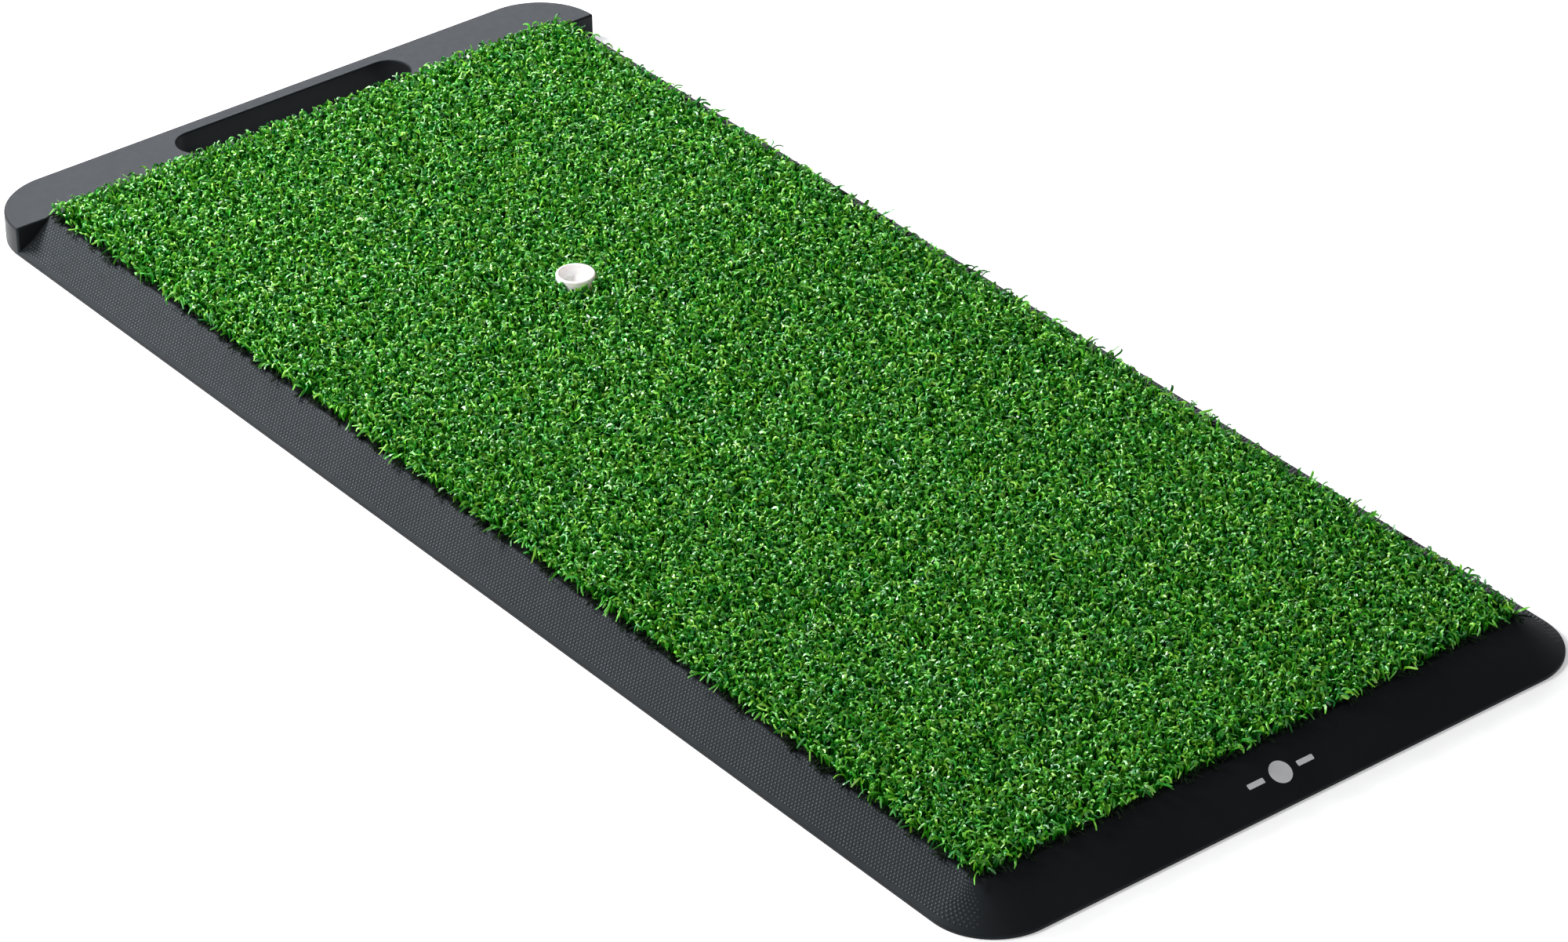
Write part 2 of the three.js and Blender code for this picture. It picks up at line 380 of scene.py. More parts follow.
def outline(half_width, front, back, front_radius, back_radius):
    """Counter-clockwise rectangle, centred across the mat, with its own corner radius at each end."""
    return [
        *corner(-half_width, front, front_radius, math.pi),
        *corner(half_width, front, front_radius, math.pi * 1.5),
        *corner(half_width, back, back_radius, 0),
        *corner(-half_width, back, back_radius, math.pi / 2),
    ]


def loft(name, rings, material):
    """Closed body through rings of (outline, height) with equal point counts."""
    count = len(rings[0][0])
    points = [(x, y, z) for ring, z in rings for x, y in ring]
    faces = [list(reversed(range(count)))]
    for level in range(len(rings) - 1):
        low, high = level * count, (level + 1) * count
        for i in range(count):
            j = (i + 1) % count
            faces.append((low + i, low + j, high + j, high + i))
    faces.append([len(points) - count + i for i in range(count)])
    return mesh_object(name, points, faces, [material])


def fillet(before, point, after, radius):
    """Arc of that radius in the corner of a profile, as (inset, height) points."""
    before, point, after = (Vector(p) for p in (before, point, after))
    back, on = (before - point).normalized(), (after - point).normalized()
    half = back.angle(on) / 2
    centre = point + (back + on).normalized() * (radius / math.sin(half))
    start = point + back * (radius / math.tan(half)) - centre
    end = point + on * (radius / math.tan(half)) - centre
    turns = [i / FILLET_STEPS for i in range(FILLET_STEPS + 1)]
    return [tuple(centre + start.lerp(end, t).normalized() * radius) for t in turns]


def rounded(corners, radii):
    """Closed outline or profile with each corner rounded to its own radius."""
    points = []
    for i, (point, radius) in enumerate(zip(corners, radii)):
        points += fillet(corners[i - 1], point, corners[(i + 1) % len(corners)], radius)
    return points


def circle(radius, steps, y=0):
    """Circle round the point (0, y)."""
    angles = [i / steps * math.tau for i in range(steps)]
    return [(radius * math.cos(a), y + radius * math.sin(a)) for a in angles]


def tee_circle(radius):
    """Circle round the tee's axis."""
    return circle(radius, CIRCLE_STEPS, TEE_Y)


# ---------------------------------------------------------------- rubber base

def bevel_ring(inset):
    """Outline of the bevelled body, moved in from its foot: the front bevel runs further than the sides."""
    share = min(inset / SIDE_RUN, 1)
    past = max(inset - SIDE_RUN, 0)
    radius = FRONT_RADIUS + (CROWN_RADIUS - FRONT_RADIUS) * share - past
    back = STEP_Y + STEP_OVERLAP
    return outline(HALF_WIDTH - inset, -HALF_LENGTH + FRONT_RUN * share + past, back, radius, 0)


def bevelled_body(material):
    """The base up to the handle, with bevels on its long sides and front end."""
    foot, lip, crown = (0, 0), (0, LIP_HEIGHT), (SIDE_RUN, THICKNESS)
    profile = [
        *fillet((LEVEL_REACH, 0), foot, lip, FOOT_ROUNDING),
        *fillet(foot, lip, crown, LIP_ROUNDING),
        *fillet(lip, crown, (SIDE_RUN + LEVEL_REACH, THICKNESS), CROWN_ROUNDING),
    ]
    return loft("rubber_base_body", [(bevel_ring(inset), z) for inset, z in profile], material)


def handle_platform(material):
    """Full-height stretch at the handle end, with softly rounded edges all round."""
    foot, top = (0, 0), (0, THICKNESS)
    profile = [
        *fillet((LEVEL_REACH, 0), foot, top, FOOT_ROUNDING),
        *fillet(foot, top, (LEVEL_REACH, THICKNESS), HANDLE_ROUNDING),
    ]
    rings = []
    for inset, z in profile:
        front, back = STEP_Y + inset, HALF_LENGTH - inset
        radii = (HANDLE_FRONT_RADIUS - inset, HANDLE_RADIUS - inset)
        rings.append((outline(HALF_WIDTH - inset, front, back, *radii), z))
    return loft("handle_platform", rings, material)


def slot_cutter(material):
    """Rounded slot whose mouths flare, so that the cut leaves rounded edges."""
    back = HALF_LENGTH - SLOT_BAR
    turns = [math.pi / 2 * i / FILLET_STEPS for i in range(FILLET_STEPS + 1)]
    mouth = [(SLOT_FLARE * (1 - math.cos(t)), (SLOT_FLARE + 2 * SLIGHT) * math.sin(t)) for t in turns]
    heights = [(-OVERRUN, SLOT_FLARE)]
    heights += [(SLOT_FLARE - rise, out) for out, rise in reversed(mouth)]
    heights += [(THICKNESS - SLOT_FLARE + rise, out) for out, rise in mouth]
    heights += [(THICKNESS + OVERRUN, SLOT_FLARE)]
    rings = []
    for z, out in heights:
        radius = SLOT_WIDTH / 2 + out - SLIGHT
        ring = outline(SLOT_LENGTH / 2 + out, back - SLOT_WIDTH - out, back + out, radius, radius)
        rings.append((ring, z))
    return loft("slot_cutter", rings, material)


def recess_cutter(material):
    """The shallow recess that the turf panel lies in."""
    ring = outline(PANEL_HIGH.x + GAP, PANEL_LOW.y - GAP, STEP_Y, RECESS_RADIUS, RECESS_RADIUS)
    return loft("recess_cutter", [(ring, RECESS_FLOOR), (ring, THICKNESS + OVERRUN)], material)


def tee_hole_cutter(material):
    """The tee's hole, with the wider pocket for its flange below."""
    rings = [
        (tee_circle(FLANGE_POCKET_RADIUS), -OVERRUN),
        (tee_circle(FLANGE_POCKET_RADIUS), FLANGE_POCKET_DEPTH),
        (tee_circle(TEE_HOLE_RADIUS), FLANGE_POCKET_DEPTH),
        (tee_circle(TEE_HOLE_RADIUS), THICKNESS + OVERRUN),
    ]
    return loft("tee_hole_cutter", rings, material)


def groove_cutter(x, material):
    """One anti-slip groove under the base, with sloping sides."""
    front, back = -HALF_LENGTH + GROOVE_MARGIN, STEP_Y - GROOVE_MARGIN
    rings = []
    for z in (-OVERRUN, GROOVE_DEPTH):
        spread = GROOVE_DRAFT * (GROOVE_DEPTH / 2 - z)
        half = GROOVE_WIDTH / 2 + spread
        ring = outline(half, front - spread, back + spread, half - SLIGHT, half - SLIGHT)
        rings.append(([(x + px, py) for px, py in ring], z))
    return loft("groove_cutter", rings, material)


def make_base():
    """The whole rubber base: bevelled body and handle joined, then cut."""
    rubber = rubber_material()
    base = boolean(bevelled_body(rubber), handle_platform(rubber), "UNION")
    for cutter in (slot_cutter, recess_cutter, tee_hole_cutter):
        boolean(base, cutter(rubber), "DIFFERENCE")
    for i in range(GROOVES):
        x = (i - (GROOVES - 1) / 2) * GROOVE_PITCH
        boolean(base, groove_cutter(x, rubber), "DIFFERENCE")
    shade(base, 32)
    weight_normals(base)
    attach(base, "mat")
    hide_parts("rubber_base")


# ---------------------------------------------------------------- tread dots on the long bevels

DOT_PITCH = 2.05 * MM
DOT_ROW_PITCH = 1.51 * MM
DOT_HALF_LENGTH = 0.76 * MM
DOT_HALF_BREADTH = 0.47 * MM
DOT_HEIGHT = 0.27 * MM
DOT_SIDES = 6
TREAD_START = 2.3 * MM  # smooth band above the lip
TREAD_END_MARGIN = 0.3 * MM  # smooth band below the crown
TREAD_STEP_MARGIN = 4 * MM
FADE_ANGLES = (math.radians(10), math.radians(56))  # round the front corner, where the dots die out
SMALLEST_DOT = 0.3  # share of the full size
DOT_RINGS = ((1, -0.5), (1, 0.3), (0.76, 0.88))  # shares of a dot's radius and height, from foot to shoulder


def bevel_point(travel, climb):
    """Point on the right-hand bevel: travel runs from the step to the front corner and round it."""
    front_y = -HALF_LENGTH + FRONT_RADIUS
    straight = STEP_Y - front_y
    angle = np.maximum(travel - straight, 0) / ((FRONT_RADIUS + CROWN_RADIUS) / 2)
    y = np.where(travel < straight, STEP_Y - travel, front_y)
    foot_x = HALF_WIDTH - FRONT_RADIUS + FRONT_RADIUS * np.cos(angle)
    foot_y = y - FRONT_RADIUS * np.sin(angle)
    crown_x = HALF_WIDTH - SIDE_RUN - CROWN_RADIUS + CROWN_RADIUS * np.cos(angle)
    crown_shift = (-HALF_LENGTH + FRONT_RUN + CROWN_RADIUS) - front_y
    crown_y = y + crown_shift * np.minimum(angle * 2, 1) - CROWN_RADIUS * np.sin(angle)
    x = foot_x + (crown_x - foot_x) * climb
    z = LIP_HEIGHT + (THICKNESS - LIP_HEIGHT) * climb
    return np.stack([x, foot_y + (crown_y - foot_y) * climb, z], axis=-1), angle


def dot_places():
    """Staggered places on the bevel as (point, along, up, outward, size)."""
    slope = math.hypot(SIDE_RUN, THICKNESS - LIP_HEIGHT)
    rows = int((slope - TREAD_START - TREAD_END_MARGIN) / DOT_ROW_PITCH)
    straight = STEP_Y + HALF_LENGTH - FRONT_RADIUS
    reach = straight + FADE_ANGLES[1] * (FRONT_RADIUS + CROWN_RADIUS) / 2
    row, column = np.meshgrid(np.arange(rows), np.arange(int(reach / DOT_PITCH)), indexing="ij")
    travel = TREAD_STEP_MARGIN + (column + 0.5 * (row % 2)) * DOT_PITCH
    climb = (TREAD_START + (row + 0.5) * DOT_ROW_PITCH) / slope
    travel, climb = travel.ravel(), climb.ravel()
    point, angle = bevel_point(travel, climb)
    small = 0.1 * MM
    along = bevel_point(travel + small, climb)[0] - point
    up = bevel_point(travel, climb + 0.01)[0] - point
    along /= np.linalg.norm(along, axis=1, keepdims=True)
    outward = np.cross(up, along)
    outward /= np.linalg.norm(outward, axis=1, keepdims=True)
    outward *= np.sign(outward[:, 2:])
    up = np.cross(outward, along)
    size = 1 - np.clip((angle - FADE_ANGLES[0]) / (FADE_ANGLES[1] - FADE_ANGLES[0]), 0, 1)
    crowding = 2 * (FRONT_RADIUS + (CROWN_RADIUS - FRONT_RADIUS) * climb) / (FRONT_RADIUS + CROWN_RADIUS)
    size *= np.where(angle > 0, np.minimum(crowding, 1), 1)
    keep = size > SMALLEST_DOT
    return point[keep], along[keep], up[keep], outward[keep], size[keep]


def tread_dots(name, side, material):
    """Low oval domes on one long bevel (side is 1 or -1), each a closed cap whose foot is under the skin."""
    point, along, up, outward, size = dot_places()
    angles = np.arange(DOT_SIDES) * math.tau / DOT_SIDES
    rings = []
    for radius, height in DOT_RINGS:
        for angle in angles:
            flat = along * DOT_HALF_LENGTH * math.cos(angle) + up * DOT_HALF_BREADTH * math.sin(angle)
            rise = outward * (DOT_HEIGHT * height * size)[:, None]
            rings.append(point + flat * (radius * (0.4 + 0.6 * size))[:, None] + rise)
    rings.append(point + outward * (DOT_HEIGHT * size)[:, None])
    points = np.stack(rings, axis=1)
    points[..., 0] *= side
    per_dot = len(rings)
    pattern = [tuple(reversed(range(DOT_SIDES)))]
    for low in (0, DOT_SIDES):
        for i in range(DOT_SIDES):
            j = (i + 1) % DOT_SIDES
            pattern.append((low + i, low + j, low + DOT_SIDES + j, low + DOT_SIDES + i))
    top = 2 * DOT_SIDES
    pattern += [(top + i, top + (i + 1) % DOT_SIDES, per_dot - 1) for i in range(DOT_SIDES)]
    if np.linalg.det(np.stack([along[0], up[0], outward[0]])) * side < 0:
        pattern = [tuple(reversed(face)) for face in pattern]
    faces = [tuple(per_dot * n + i for i in face) for n in range(len(points)) for face in pattern]
    made = mesh_object(name, points.reshape(-1, 3).tolist(), faces, [material], smooth_angle=60)
    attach(made, "mat")
    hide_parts("rubber_base")


# ---------------------------------------------------------------- turf panel

def make_cloth():
    """Woven cloth that the strands are tufted through: a thin flat sheet with the tee's hole."""
    ring = outline(PANEL_HIGH.x, PANEL_LOW.y, PANEL_HIGH.y, RECESS_RADIUS - GAP, RECESS_RADIUS - GAP)
    rings = [(ring, CLOTH_LOW.z), (ring, CLOTH_HIGH.z)]
    material = cloth_material()
    cloth = loft("turf_cloth_sheet", rings, material)
    circle_points = tee_circle(TEE_HOLE_RADIUS)
    hole = loft("hole", [(circle_points, 0), (circle_points, PANEL_HIGH.z)], material)
    boolean(cloth, hole, "DIFFERENCE")
    shade(cloth, 30)
    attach(cloth, "mat")
    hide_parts("turf_primary_cloth")


def finish_hidden_layers():
    """Materials for the latex coat and the glue film, whose CAD shapes are right."""
    for node, material in (("turf_backing", latex_material()), ("turf_adhesive", glue_material())):
        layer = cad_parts[node]
        for slot in layer.material_slots:
            slot.material = material


STRAND_PITCH = 1.82 * MM
STRAND_POINTS = 8
STRAND_SIDES = 3
STRAND_WIDTH = 1.1 * MM
STRAND_THICKNESS = 0.5 * MM
STRAND_TAPER = (0.8, 1, 1, 1, 1, 1, 0.95, 0.6)  # share of the width at each point, from root to tip
STRAND_APEX = (0.62, 1)  # where along itself a strand is highest
STRAND_SWEEP = (2.0, 5.6)  # how far it curls round, in radians
STRAND_REACH = (1.1, 2.9)  # how wide it curls, in mm
STRAND_TWIST = 1.2  # the most that it turns about itself, in radians
STRANDS_PER_PIECE = 4500  # keeps each piece under 200,000 triangles
PILE_HEIGHT = PANEL_HIGH.z - CLOTH_HIGH.z
CLUMP_SIZE = 9 * MM
CLUMP_LEAN = 0.5 * MM
OWN_LEAN = 0.9 * MM
SPILL_CLUMP = 12 * MM
HEIGHT_WAVE = 25 * MM
FIELD_WAVES = 14
HEIGHT_MEAN = 0.93  # heights are shares of the pile's
HEIGHT_SPREAD = 0.06
HEIGHT_LIMITS = (0.4, 1.12)
UNDERSTORY_SHARE = 0.3
UNDERSTORY_HEIGHTS = (0.55, 0.85)
EDGE_ZONE = 6 * MM
EDGE_SPILL = 6.8 * MM
HANDLE_SPILL = 3 * MM
STRAY_SHARE = 0.008
TEE_ZONE = 6 * MM
TEE_LEAN = 2.5 * MM
TEE_RING = 90  # more strands close round the tee's hole
FRAY_COUNT = 1900
FRAY_REACH = 5.4 * MM
FRAY_WIDTH = 0.9 * MM
FRAY_ROOT = 1 * MM  # how far inside the edge the frayed ends start
FRAY_SHORTEST = 1.5 * MM
FRAY_CLUMP = 9 * MM
FRAY_SIDEWAYS = 1.6 * MM


def strand_roots(rng):
    """Jittered grid of tufts over the cloth, with none in the tee's hole."""
    inset = 0.4 * MM
    xs = np.arange(PANEL_LOW.x + inset, PANEL_HIGH.x - inset, STRAND_PITCH)
    ys = np.arange(PANEL_LOW.y + inset, PANEL_HIGH.y - inset, STRAND_PITCH)
    roots = np.stack(np.meshgrid(xs, ys), axis=-1).reshape(-1, 2)
    roots += rng.uniform(-0.5, 0.5, roots.shape) * STRAND_PITCH
    from_tee = np.linalg.norm(roots - (0, TEE_Y), axis=1)
    angle = rng.uniform(0, math.tau, TEE_RING)
    distance = TEE_HOLE_RADIUS + rng.uniform(0.3, 2, TEE_RING) * MM
    ring = np.stack([distance * np.cos(angle), TEE_Y + distance * np.sin(angle)], axis=1)
    return np.concatenate([roots[from_tee > TEE_HOLE_RADIUS + 0.3 * MM], ring])


def smooth_field(roots, wavelength, rng):
    """Smooth random field over the mat, about -1 to 1, from a few sine waves."""
    total = np.zeros(len(roots))
    for _ in range(FIELD_WAVES):
        heading = rng.uniform(0, math.tau)
        length = wavelength * rng.uniform(0.6, 1.7)
        direction = np.array([math.cos(heading), math.sin(heading)]) * math.tau / length
        total += np.sin(roots @ direction + rng.uniform(0, math.tau))
    return total / math.sqrt(FIELD_WAVES)


def edge_closeness(roots):
    """How near each root is to the panel's low and high edges, 0 to 1, as (strand, xy) for each edge."""
    low, high = np.array(PANEL_LOW.xy), np.array(PANEL_HIGH.xy)
    return [np.clip(1 - np.abs(roots - end) / EDGE_ZONE, 0, 1) for end in (low, high)]


def strand_leans(roots, rng):
    """How far each strand's tip moves from its root: clumps lean together, edges spill outward."""
    fields = [smooth_field(roots, CLUMP_SIZE, rng) for _ in "xy"]
    lean = np.stack(fields, axis=1) * CLUMP_LEAN
    lean += rng.normal(0, OWN_LEAN, roots.shape)
    clump = np.clip(0.6 + 0.6 * smooth_field(roots, SPILL_CLUMP, rng), 0.1, 1.3)[:, None]
    for near, sign, reach in zip(edge_closeness(roots), (-1, 1), (EDGE_SPILL, (EDGE_SPILL, HANDLE_SPILL))):
        spill = rng.uniform(0.3, 1, roots.shape) * clump * reach
        lean += sign * near * np.where(rng.random(roots.shape) < STRAY_SHARE, 1.5 * spill, spill)
    lean *= np.minimum(1, EDGE_SPILL / np.linalg.norm(lean, axis=1, keepdims=True))
    offset = roots - (0, TEE_Y)
    distance = np.linalg.norm(offset, axis=1, keepdims=True)
    near_tee = np.clip(1 - (distance - TEE_HOLE_RADIUS) / TEE_ZONE, 0, 1)
    return lean - offset / distance * near_tee * rng.uniform(0, TEE_LEAN, (len(roots), 1))


def strand_heights(roots, rng):
    """Height of each strand's top above the cloth: mostly level, with an understory and shorter edges."""
    count = len(roots)
    height = rng.normal(HEIGHT_MEAN, HEIGHT_SPREAD, count)
    short = rng.random(count) < UNDERSTORY_SHARE
    height[short] = rng.uniform(*UNDERSTORY_HEIGHTS, short.sum())
    height += 0.02 * smooth_field(roots, HEIGHT_WAVE, rng)
    near = np.maximum(*edge_closeness(roots)).max(axis=1)
    height *= 1 - 0.2 * near * rng.uniform(0.2, 1, count)
    height = np.clip(height, *HEIGHT_LIMITS)
    from_tee = np.linalg.norm(roots - (0, TEE_Y), axis=1) - TEE_HOLE_RADIUS
    height += rng.uniform(0.1, 0.5, count) * np.clip(1 - from_tee / TEE_ZONE, 0, 1)
    return height * PILE_HEIGHT


def strand_lines(roots, rng):
    """Centre line of each curled strand, as (strand, point, xyz)."""
    count = len(roots)
    t = np.linspace(0, 1, STRAND_POINTS)[None, :]
    height = strand_heights(roots, rng)[:, None]
    near = np.maximum(*edge_closeness(roots)).max(axis=1, keepdims=True)
    apex = rng.uniform(*STRAND_APEX, (count, 1)) - 0.12 * near
    z = CLOTH_HIGH.z + height * (1 - (1 - t / apex) ** 2)
    start = rng.uniform(0, math.tau, (count, 1))
    sweep = rng.uniform(*STRAND_SWEEP, (count, 1)) * rng.choice([-1, 1], (count, 1))
    reach = rng.uniform(*STRAND_REACH, (count, 1)) * MM
    angle = start + sweep * t
    lean = strand_leans(roots, rng)
    x = roots[:, :1] + lean[:, :1] * t**1.4 + reach * t**1.1 * np.cos(angle)
    y = roots[:, 1:] + lean[:, 1:] * t**1.4 + reach * t**1.1 * np.sin(angle)
    line = np.stack([x, y, np.maximum(z, CLOTH_HIGH.z + STRAND_THICKNESS)], axis=-1)
    return clear_of_tee(clear_of_rubber(line))


def clear_of_rubber(line):
    """Lifts points that pass the panel's edge, so that the strands lie over the rubber's rim."""
    outside = np.maximum(np.array(PANEL_LOW.xy) - line[..., :2], line[..., :2] - np.array(PANEL_HIGH.xy))
    past = outside.max(axis=-1)
    floor = np.where(past > -0.5 * MM, THICKNESS + STRAND_THICKNESS, 0)
    line[..., 2] = np.maximum(line[..., 2], floor)
    return line


def clear_of_tee(line):
    """Pushes points out of the tee's cup, so that the strands hug it."""
    offset = line[..., :2] - (0, TEE_Y)
    distance = np.linalg.norm(offset, axis=-1, keepdims=True)
    allowed = TEE_CUP_RADIUS + STRAND_WIDTH * 0.6
    line[..., :2] += offset / distance * np.maximum(allowed - distance, 0)
    return line


def strand_frames(line, rng):
    """Across and face directions of each ribbon, twisted a little along its length."""
    tangent = np.gradient(line, axis=1)
    tangent /= np.linalg.norm(tangent, axis=-1, keepdims=True)
    count = len(line)
    heading = tangent.mean(axis=1, keepdims=True)
    aim = rng.normal(0, 1, (count, 1, 3))
    aim -= (aim * heading).sum(axis=-1, keepdims=True) * heading
    across = np.cross(tangent, aim)
    across /= np.linalg.norm(across, axis=-1, keepdims=True) + 1e-9
    face = np.cross(across, tangent)
    share = np.linspace(0, 1, STRAND_POINTS)[None, :, None]
    twist = rng.uniform(-STRAND_TWIST, STRAND_TWIST, (count, 1, 1)) * share
    return across * np.cos(twist) + face * np.sin(twist), face * np.cos(twist) - across * np.sin(twist)


def strand_points(line, width, rng):
    """Three-sided section round each centre line, as (strand, point, side, xyz)."""
    across, face = strand_frames(line, rng)
    taper = np.array(STRAND_TAPER)[None, :, None]
    width = rng.uniform(0.85, 1.15, (len(line), 1, 1)) * width / 2 * taper
    crown = line + face * STRAND_THICKNESS * 0.6
    left = line - across * width - face * STRAND_THICKNESS * 0.3
    right = line + across * width - face * STRAND_THICKNESS * 0.3
    return np.stack([crown, left, right], axis=2)


def strand_faces():
    """Faces of one strand, and the step along it that each belongs to."""
    faces = [(0, 1, 2)]
    steps = [0]
    for level in range(STRAND_POINTS - 1):
        for i in range(STRAND_SIDES):
            j = (i + 1) % STRAND_SIDES
            low, high = level * STRAND_SIDES, (level + 1) * STRAND_SIDES
            faces.append((low + i, high + i, high + j, low + j))
            steps.append(level)
    last = (STRAND_POINTS - 1) * STRAND_SIDES
    faces.append((last + 2, last + 1, last))
    steps.append(STRAND_POINTS - 2)
    return faces, steps


def strand_mesh(name, points, materials, smooth_angle=None):
    """One mesh of many strands, each a closed body."""
    pattern, _ = strand_faces()
    per_strand = STRAND_POINTS * STRAND_SIDES
    faces = [tuple(per_strand * n + i for i in face) for n in range(len(points)) for face in pattern]
    return mesh_object(name, points.reshape(-1, 3).tolist(), faces, materials, smooth_angle)


def smooth_along(strands):
    """Smooth shading along each strand and over its crown, with its side edges and cut ends kept sharp."""
    mesh = strands.data
    mesh.shade_smooth()
    ends = np.empty(2 * len(mesh.edges), np.int32)
    mesh.edges.foreach_get("vertices", ends)
    ends = ends.reshape(-1, 2)
    level = ends % (STRAND_POINTS * STRAND_SIDES) // STRAND_SIDES
    on_bend = (level[:, 0] == level[:, 1]) & (level[:, 0] > 0) & (level[:, 0] < STRAND_POINTS - 1)
    on_crown = (ends % STRAND_SIDES == 0).all(axis=1)
    sharp = ~(on_bend | on_crown)
    mesh.attributes.new("sharp_edge", "BOOLEAN", "EDGE").data.foreach_set("value", sharp)


def strand_piece(name, colour, points, rng):
    """One yarn colour's strands, with painted shade darkening them towards their roots and painted light on
    their tips.
    """
    materials = [yarn_material(name, colour, *light_and_gloss) for light_and_gloss in PAINTED_SHADE_AND_LIGHT.items()]
    made = strand_mesh(f"turf_strands_{name}", points, materials)
    smooth_along(made)
    _, steps = strand_faces()
    # painted shade and light: steps along the strand take lighter copies from root to tip, and tone lifts some
    # strands one step at random
    along = np.array(steps) * (len(PAINTED_SHADE_AND_LIGHT) - 1) // (STRAND_POINTS - 1)
    tone = rng.integers(0, 2, (len(points), 1))
    slots = np.clip(along[None, :] + tone, 0, len(PAINTED_SHADE_AND_LIGHT) - 1)
    made.data.polygons.foreach_set("material_index", slots.ravel().astype(np.int32))
    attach(made, "mat")
    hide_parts("turf_pile")


def fray_lines(start, end, outward, count, rng):
    """Centre lines of the frayed ends along one cut edge, in clumps that reach out over the rubber."""
    start, end, outward = np.array(start), np.array(end), np.array(outward)
    along = np.sort(rng.random(count))[:, None]
    roots = start + along * (end - start) - outward * FRAY_ROOT
    t = np.linspace(0, 1, STRAND_POINTS)[None, :, None]
    clump = np.clip(0.4 + 0.8 * smooth_field(roots, FRAY_CLUMP, rng), 0, 1)[:, None]
    reach = FRAY_ROOT + (FRAY_SHORTEST + FRAY_REACH * clump) * rng.uniform(0.4, 1, (count, 1))
    sideways = outward[::-1] * rng.normal(0, FRAY_SIDEWAYS, (count, 1))
    flat = roots[:, None] + (reach * outward)[:, None] * t + sideways[:, None] * t**2
    rise = THICKNESS + (0.5 + 2.2 * rng.random((count, 1, 1))) * MM * np.sin(t * 2.6)
    return np.concatenate([flat, np.broadcast_to(rise, (*flat.shape[:2], 1))], axis=2)


def make_fray(rng):
    """Frayed ends of the woven cloth, sticking out over the rubber's rim along the panel's cut edges."""
    low, high = np.array(PANEL_LOW.xy), np.array(PANEL_HIGH.xy)
    edges = [
        ((low[0], low[1]), (low[0], high[1]), (-1, 0)),
        ((high[0], low[1]), (high[0], high[1]), (1, 0)),
        ((low[0], low[1]), (high[0], low[1]), (0, -1)),
    ]
    total = sum(math.dist(start, end) for start, end, _ in edges)
    lines = []
    for start, end, outward in edges:
        count = round(FRAY_COUNT * math.dist(start, end) / total)
        lines.append(fray_lines(start, end, outward, count, rng))
    line = np.concatenate(lines)
    points = strand_points(line, FRAY_WIDTH, rng)
    fray = strand_mesh("turf_cloth_fray", points, [cloth_material()], smooth_angle=60)
    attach(fray, "mat")
    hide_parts("turf_primary_cloth")


def make_turf():
    """Strands of every yarn in equal shares, and the frayed edges."""
    rng = np.random.default_rng(SEED)
    roots = strand_roots(rng)
    points = strand_points(strand_lines(roots, rng), STRAND_WIDTH, rng)
    order = rng.permutation(len(points))
    shares = np.array_split(order, len(YARNS))
    for (name, colour), share in zip(YARNS, shares):
        strand_piece(name, colour, points[share[:STRANDS_PER_PIECE]], rng)
    make_fray(rng)


# ---------------------------------------------------------------- tee and centre mark

TEE_BORE_RADIUS = 4.5 * MM
TEE_STEM_RADIUS = 8 * MM
TEE_FLANGE_RADIUS = 22 * MM
TEE_FLANGE_THICKNESS = 3 * MM
TEE_CUP_DEPTH = 6 * MM
TEE_CUP_FLOOR_RADIUS = 7.4 * MM
TEE_WALL = 1.6 * MM
TEE_SHOULDER = 1 * MM  # how far over the cup's floor the stem has widened into the cup
TEE_DISH = 1.2 * MM  # how far the cup's floor falls towards the bore


def tee_profile():
    """The tee's section as rounded (radius, height) points: flange, waisted stem and thin-walled cup."""
    foot, rim = TEE_LOW.z, TEE_HIGH.z
    flange_top = foot + TEE_FLANGE_THICKNESS
    cup_floor = rim - TEE_CUP_DEPTH
    # Each corner of the section, with its rounding in mm
    corners = {
        (TEE_BORE_RADIUS, foot): 0.3,
        (TEE_FLANGE_RADIUS, foot): 0.5,
        (TEE_FLANGE_RADIUS, flange_top): 1.0,
        (TEE_STEM_RADIUS, flange_top): 1.6,
        (TEE_STEM_RADIUS, cup_floor - 2 * TEE_WALL): 1.5,
        (TEE_CUP_RADIUS, cup_floor + TEE_SHOULDER): 1.5,
        (TEE_CUP_RADIUS, rim): 0.75,
        (TEE_CUP_RADIUS - TEE_WALL, rim): 0.75,
        (TEE_CUP_FLOOR_RADIUS, cup_floor): 1.4,
        (TEE_BORE_RADIUS, cup_floor - TEE_DISH): 0.6,
    }
    return rounded(list(corners), [radius * MM for radius in corners.values()])


def make_tee():
    """Hollow rubber tee, turned from its section."""
    profile = tee_profile()
    points = []
    for i in range(CIRCLE_STEPS):
        a = i / CIRCLE_STEPS * math.tau
        points += [(r * math.cos(a), TEE_Y + r * math.sin(a), z) for r, z in profile]
    count = len(profile)
    faces = []
    for i in range(CIRCLE_STEPS):
        j = (i + 1) % CIRCLE_STEPS
        for k in range(count):
            m = (k + 1) % count
            faces.append((i * count + k, j * count + k, j * count + m, i * count + m))
    tee = mesh_object("rubber_tee_cup", points, faces, [tee_material()], smooth_angle=50)
    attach(tee, "tee")
    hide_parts("rubber_tee")


MARK_DISC_RADIUS = 5.5 * MM
MARK_DISC_STEPS = 64
MARK_BAR_GAP = 4 * MM
MARK_BAR_LENGTH = 9 * MM
MARK_BAR_HALF_WIDTH = 1.3 * MM
MARK_ROUNDING = 0.4 * MM
MARK_HEIGHTS = (-0.05 * MM, 0.12 * MM)  # underside and top, from the bevel's surface


